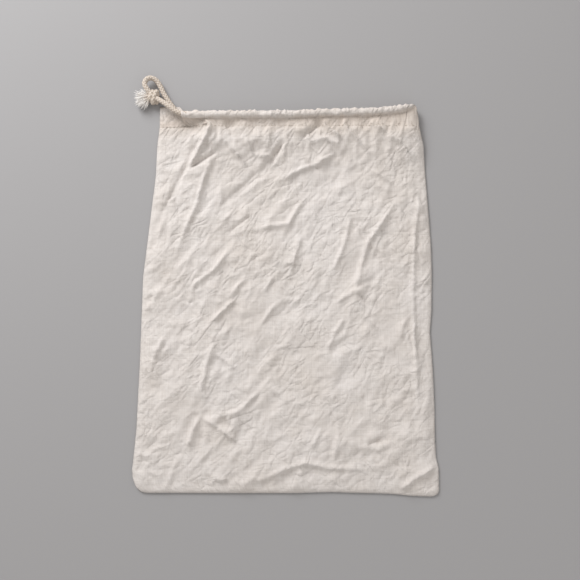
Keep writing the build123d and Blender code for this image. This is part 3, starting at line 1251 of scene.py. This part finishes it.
def stepAtStitches(row, column, panelZ, casingZ):
    # at each column, how far the panel's last row lies over the casing's first one
    lastRow = np.zeros(sheetCut["frontColumns"] + 1)
    isLast = row == sheetCut["frontRows"]
    lastRow[column[isLast]] = panelZ[isLast]
    firstRow = np.zeros(sheetCut["frontColumns"] + 1)
    isFirst = row == sheetCut["frontRows"] + 1
    firstRow[column[isFirst]] = casingZ[isFirst]
    return (lastRow - firstRow)[column]


def finishCloth(piece, x, y, z):
    # leaves the mesh open in edit mode
    writePoints(piece, np.stack([x, y, z], axis=1) * mm)
    scaleUv(piece, *bag["flatCloth"])
    makeActive(piece)
    bpy.ops.object.mode_set(mode="EDIT")


def cutSlit(piece, row, column, x, onCasing):
    # the casing is missing to the left of the slit
    bpy.ops.mesh.select_all(action="DESELECT")
    bpy.ops.object.mode_set(mode="OBJECT")
    atStitch = np.abs(row - sheetCut["frontRows"]) < 0.5
    keepFrom = column[atStitch & (x > sheetCut["slitAtStitch"])].min()
    drop = (column < keepFrom) & onCasing
    piece.data.vertices.foreach_set("select", drop)
    bpy.ops.object.mode_set(mode="EDIT")
    bpy.ops.mesh.delete(type="VERT")
    bpy.ops.object.mode_set(mode="OBJECT")


def makeFrontCloth():
    counts = (sheetCut["frontColumns"], sheetCut["frontRows"])
    piece, row, column, casingShare, x, y = startCloth("front_cloth", *counts)
    onCasing = casingShare > 0
    settled = settlePanel()
    panel = settled[column, np.clip(row, 0, sheetCut["frontRows"]).astype(int)]
    room = np.minimum.reduce(edgeRoom(x, y))
    panelZ = panel[:, 2] + fineCreases(x, y) * smoothStep(-2, 7, room)
    panelZ = np.maximum(panelZ, lowestFront(room))
    x = np.where(onCasing, x, panel[:, 0])
    y = np.where(onCasing, y, panel[:, 1])
    x = flareCasing(slantAtSlit(x, casingShare), casingShare)
    radii = (sheetCut["rollRadius"], sheetCut["slitRollRadius"])
    radius, centreZ = rollShape(x, *radii, bag["frontCordZ"])
    stitchZ = 2.2 + (crumple["mouthHeight"] - 0.5 - 2.2) * pastSlit(x)
    flatZ = np.minimum(stitchZ, centreZ + 0.4 * radius)
    casingY, casingZ, angle = casingProfile(x, casingShare, radius, centreZ, 1, flatZ)
    swell = rollSwell(x, casingY, casingShare)
    onFlat = 1 - smoothStep(0.16, 0.34, casingShare) + smoothStep(0.80, 0.94, casingShare)
    flatCreases = frontCreases(x, casingY) * onFlat * onCasing
    casingZ = casingZ + 0.6 * flatCreases * smoothStep(sheetCut["slitAtRoll"], -80, x)
    nearStitches = 1 - smoothStep(0.04, 0.26, casingShare) + smoothStep(0.84, 1.0, casingShare)
    casingZ = casingZ + stepAtStitches(row, column, panelZ, casingZ) * nearStitches
    upward = np.sin(np.clip(angle, 0, math.pi))
    casingZ = casingZ + swell * np.where(casingShare < sheetCut["flatPart"], 0.9, upward)
    outward = swell * 0.8 + 1.0 * softNoise(x, x * 0, 5.5, 16)
    casingY = casingY + outward * np.clip(np.cos(angle), 0, 1)
    finishCloth(piece, x, np.where(onCasing, casingY, y), np.where(onCasing, casingZ, panelZ))
    cutSlit(piece, row, column, x, onCasing)
    return piece


def backHeight(x, y):
    left, right, bottom = edgeRoom(x, y)
    room = np.clip(np.minimum(np.minimum(left, right), bottom), 0, None)
    creases = scatterCreases(x, y, crumple["backCount"], crumple["backSeed"])
    z = 0.55 + 0.8 * softNoise(x, y, 48, 9) + 0.85 * creases
    z = np.clip(z, 0.0, 1.6)
    seamZ = 0.85 + 4.9 * smoothStep(118, 166, y) * smoothStep(100, 122, x)
    z = z * smoothStep(0, 10, room)
    z += seamZ * np.exp(-room / 4.2)
    z *= 1 - 0.8 * smoothStep(150, 160, y) * smoothStep(2, 12, room)
    return z


flap = {"top": 182.0, "turnAt": 0.5, "tuckedIn": 0.9}


def layFlap(x, casingShare):
    # to the left of the slit the hem lies flat, turned back over itself
    rise = flap["top"] - bag["stitchY"]
    goingUp = np.clip(casingShare / flap["turnAt"], 0, 1)
    goingDown = np.clip((casingShare - flap["turnAt"]) / (1 - flap["turnAt"]), 0, 1)
    y = np.where(
        casingShare < flap["turnAt"],
        bag["stitchY"] + rise * goingUp,
        flap["top"] - (rise + flap["tuckedIn"]) * goingDown,
    )
    z = 0.05 + 0.95 * smoothStep(0.47, 0.53, casingShare) + 0.12 * smoothStep(0, 1, goingUp)
    wave = 0.5 * softNoise(x, y, 9, 12) + 0.25 * np.sin(x * 0.8)
    return y, z + np.clip(wave, 0, 1) * smoothStep(0.05, 0.3, casingShare)


def makeBackCloth():
    counts = (sheetCut["backColumns"], sheetCut["backRows"])
    piece, _, _, casingShare, x, y = startCloth("back_cloth", *counts)
    onCasing = casingShare > 0
    panelZ = backHeight(x, y)
    x = flareCasing(x, casingShare)
    radii = (sheetCut["backRollRadius"], sheetCut["backRollRadius"])
    radius, centreZ = rollShape(x, *radii, bag["backCordZ"])
    flatZ = np.maximum(0.15, centreZ - radius)
    rollY, rollZ, _ = casingProfile(x, casingShare, radius, centreZ, -1, flatZ)
    flapY, flapZ = layFlap(x, casingShare)
    toRoll = smoothStep(-101.5, -95.0, x)
    y = np.where(onCasing, flapY + (rollY - flapY) * toRoll, y)
    z = np.where(onCasing, flapZ + (rollZ - flapZ) * toRoll, panelZ)
    finishCloth(piece, x, y, z)
    bpy.ops.mesh.select_all(action="SELECT")
    bpy.ops.mesh.flip_normals()
    bpy.ops.object.mode_set(mode="OBJECT")
    return piece


def thicken(piece):
    makeActive(piece)
    bpy.ops.object.shade_smooth()
    solid = piece.modifiers.new("clothThickness", "SOLIDIFY")
    solid.thickness = bag["clothThickness"] * mm
    solid.offset = -1.0
    bpy.ops.object.modifier_apply(modifier=solid.name)


def cutSurface(piece):
    points = [tuple(place) for place in readPoints(piece)]
    faces = [tuple(polygon.vertices) for polygon in piece.data.polygons]
    return BVHTree.FromPolygons(points, faces)


frontCloth = makeFrontCloth()
frontTree = cutSurface(frontCloth)
backCloth = makeBackCloth()
thicken(frontCloth)
thicken(backCloth)
clothNodes = (
    (frontCloth, ("front_panel", "front_casing")),
    (backCloth, ("back_panel", "back_casing")),
)
for piece, nodes in clothNodes:
    dress(piece, clothMaterial)
    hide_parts(*nodes)
print("cloth ready")


# ---- stitches and seams

stitch = {
    "pitch": 3.1, "length": 2.3, "radius": 0.28,
    "under": 0.2, "over": 0.25, "bendAfter": 0.5, "wobble": 0.12,
}


def makeStitchRow(name, node, startX, lastX, y, surfaceZ):
    draw = random.Random(5)
    parts = []
    x = startX
    while x < lastX:
        z = surfaceZ(x, y)
        nextZ = surfaceZ(x + stitch["length"], y)
        if z is not None and nextZ is not None:
            wobble = draw.uniform(-stitch["wobble"], stitch["wobble"])
            endX = x + stitch["length"]
            points = [
                Vector((x, y + wobble, z - stitch["under"])),
                Vector((x + stitch["bendAfter"], y + wobble, z + stitch["over"])),
                Vector((endX - stitch["bendAfter"], y - wobble, nextZ + stitch["over"])),
                Vector((endX, y - wobble, nextZ - stitch["under"])),
            ]
            path = smoothPath([point * mm for point in points], 2)
            parts.append(makeTube("stitch", path, stitch["radius"] * mm, 6, 0.55 * mm))
        x += stitch["pitch"] * draw.uniform(0.95, 1.05)
    row = dress(joinPieces(name, parts), threadMaterial)
    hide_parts(node)
    return row


def frontSurface(x, y):
    hit = frontTree.ray_cast(Vector((x, y, 40)) * mm, Vector((0, 0, -1)))
    return hit[0].z / mm if hit[0] is not None else None


def backSurface(x, y):
    return 0.75


frontStitches = makeStitchRow(
    "front_hem_stitches", "front_casing_stitching", -117.0, 123.5, bag["stitchY"] - 0.1, frontSurface)
backStitches = makeStitchRow(
    "back_hem_stitches", "back_casing_stitching", -116.0, 122.0, bag["stitchY"] - 0.6, backSurface)

seam = {
    "height": 1.6, "width": 8.0, "thickness": 0.7, "step": 2.5, "inset": 3.3,
    "wave": 0.18, "waveTurn": 0.35,
    "threadRadius": 0.22, "threadPitch": 3.0, "threadOut": 0.2, "threadIn": -3.0, "threadLift": 0.45,
}


def makeSeam(name, node, points, inward):
    # the two allowances, bound together by a thread that runs zigzag over their raw edge
    path = smoothPath([Vector((px, py, seam["height"])) * mm for px, py in points])
    centres, along = evenPath(path, seam["step"] * mm)
    rings = len(centres) - 1
    band, alongShare, acrossShare = addGrid(name, rings, 4)
    ring = np.rint(alongShare * rings).astype(int)
    inwards = np.array(inward, float)
    wave = seam["wave"] * mm * np.sin(along[ring] / mm * seam["waveTurn"])
    places = centres[ring] + np.outer(acrossShare * seam["width"] * mm, inwards)
    places[:, 2] += wave * acrossShare
    writePoints(band, places)
    scaleUv(band, along[-1], seam["width"] * mm)
    makeActive(band)
    solid = band.modifiers.new("twoAllowances", "SOLIDIFY")
    solid.thickness = seam["thickness"] * mm
    solid.offset = 0
    bpy.ops.object.modifier_apply(modifier=solid.name)
    closeShell(band)
    dress(band, seamMaterial)
    zigzag = []
    steps = int(along[-1] / mm / seam["threadPitch"] * 2)
    for step in range(steps):
        place = centres[min(rings, int(round(step / steps * rings)))]
        offset = (seam["width"] + seam["threadOut" if step % 2 else "threadIn"]) * mm
        lift = Vector((0, 0, seam["threadLift"] * mm))
        zigzag.append(Vector(place) + Vector(inward) * offset + lift)
    zigzag = np.array([tuple(point) for point in zigzag])
    thread = makeTube(f"{name}_thread", zigzag, seam["threadRadius"] * mm, 5, 1.5 * mm)
    dress(thread, threadMaterial)
    whole = joinPieces(name, [band, thread])
    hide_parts(node)
    return whole


def sideLine(side, inset):
    return [(follow(outline[side], y) + inset, y) for y in np.linspace(-166, 150, 12)]


leftLine = sideLine("left", seam["inset"])
rightLine = sideLine("right", -seam["inset"])
bottomLine = [(x, follow(outline["bottom"], x) + seam["inset"]) for x in np.linspace(-124, 124, 10)]
leftSeam = makeSeam("left_seam_allowance", "left_side_seam", leftLine, (1, 0, 0))
rightSeam = makeSeam("right_seam_allowance", "right_side_seam", rightLine, (-1, 0, 0))
bottomSeam = makeSeam("bottom_seam_allowance", "bottom_seam", bottomLine, (0, 1, 0))
print("stitches and seams ready")

# the cloth, stitches, seams and the cord's turn are baked where they lie
seams = (leftSeam, rightSeam, bottomSeam)
for piece in (frontCloth, backCloth, frontStitches, backStitches, *seams, turnPiece):
    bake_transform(piece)
